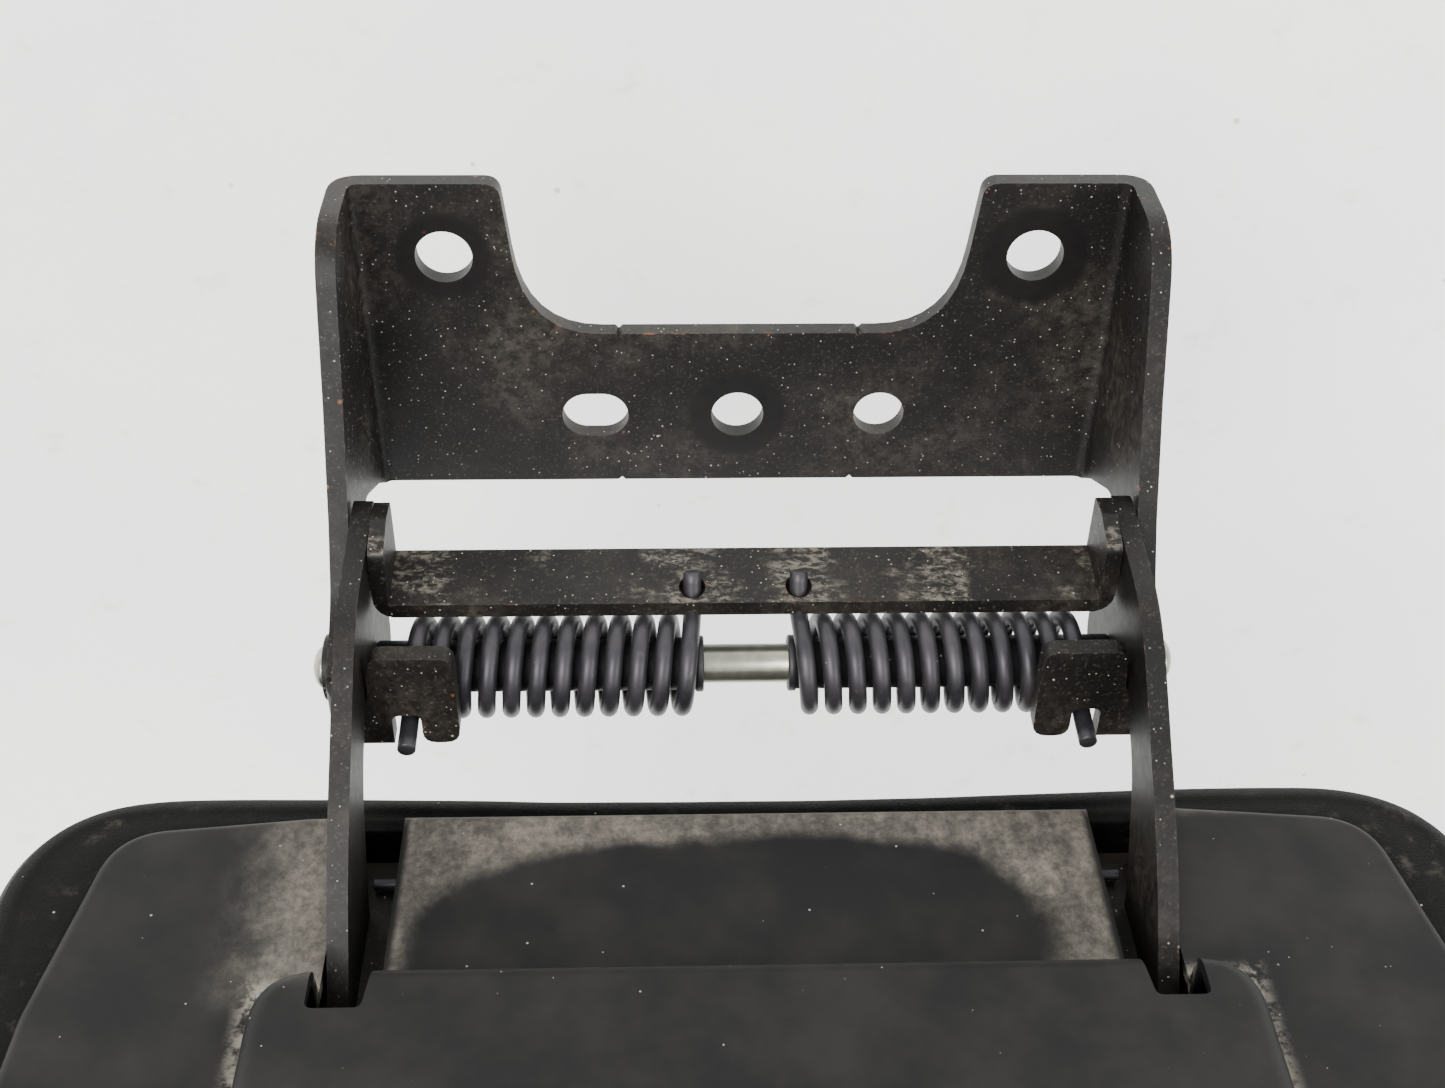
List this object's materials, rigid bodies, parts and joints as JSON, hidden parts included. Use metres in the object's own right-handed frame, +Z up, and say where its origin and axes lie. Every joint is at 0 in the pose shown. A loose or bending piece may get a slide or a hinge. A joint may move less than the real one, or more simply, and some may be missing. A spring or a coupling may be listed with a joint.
{
  "type": "tip-up seat with spring hinge bracket",
  "caption": "Spring-return tip-up seat on a steel mounting bracket: folded-up padded pan, cranked arms, pivot shaft and torsion springs.",
  "frame": {"origin": "on the bracket's flat underside, on the mid-plane, between the front notch and the centre hole", "axes": "+Z up from the mounting surface, -Y towards the sitter's feet (the bracket's notched front), +X to the sitter's left; hinge axis along X"},
  "size_m": [0.376, 0.192, 0.442],
  "materials": {
    "black_paint": "worn satin black, dusty, with rust at edges",
    "zinc_plate": "dull bright zinc",
    "spring_steel": "oiled dark spring steel",
    "black_plastic": "matte",
    "shell_plastic": "fine grained, dusty",
    "vinyl": "grained black vinyl, creased",
    "foam": "open-cell foam",
    "plywood": "black stained"
  },
  "bodies": {
    "base": {"mount_bracket": "black_paint", "pivot_shaft": "zinc_plate", "washer_left": "black_paint", "washer_right": "black_paint", "spool_left": "black_plastic", "spool_right": "black_plastic", "spring_left": "spring_steel", "spring_right": "spring_steel"},
    "seat": {"crossbar": "black_paint", "slot_rod": "spring_steel", "seat_shell": "shell_plastic", "seat_board": "plywood", "cushion_foam": "foam", "cushion_cover": "vinyl", "arm_left": "black_paint", "arm_right": "black_paint", "arm_foot_left": "black_paint", "arm_foot_right": "black_paint", "foot_bolt_low_left": "zinc_plate", "foot_bolt_low_right": "zinc_plate", "foot_bolt_high_left": "zinc_plate", "foot_bolt_high_right": "zinc_plate", "shell_screw_low_left": "zinc_plate", "shell_screw_low_right": "zinc_plate", "shell_screw_high_left": "zinc_plate", "shell_screw_high_right": "zinc_plate"}
  },
  "joints": [
    {"name": "seat_hinge", "type": "hinge", "parent": "base", "child": "seat", "pos_m": [0, 0.0455, 0.0765], "axis": [1, 0, 0], "range_deg": [0, 90], "stiffness_Nm_per_rad": 11.2, "springref_deg": -20.05, "deforming": ["spring_left", "spring_right"]}
  ]
}
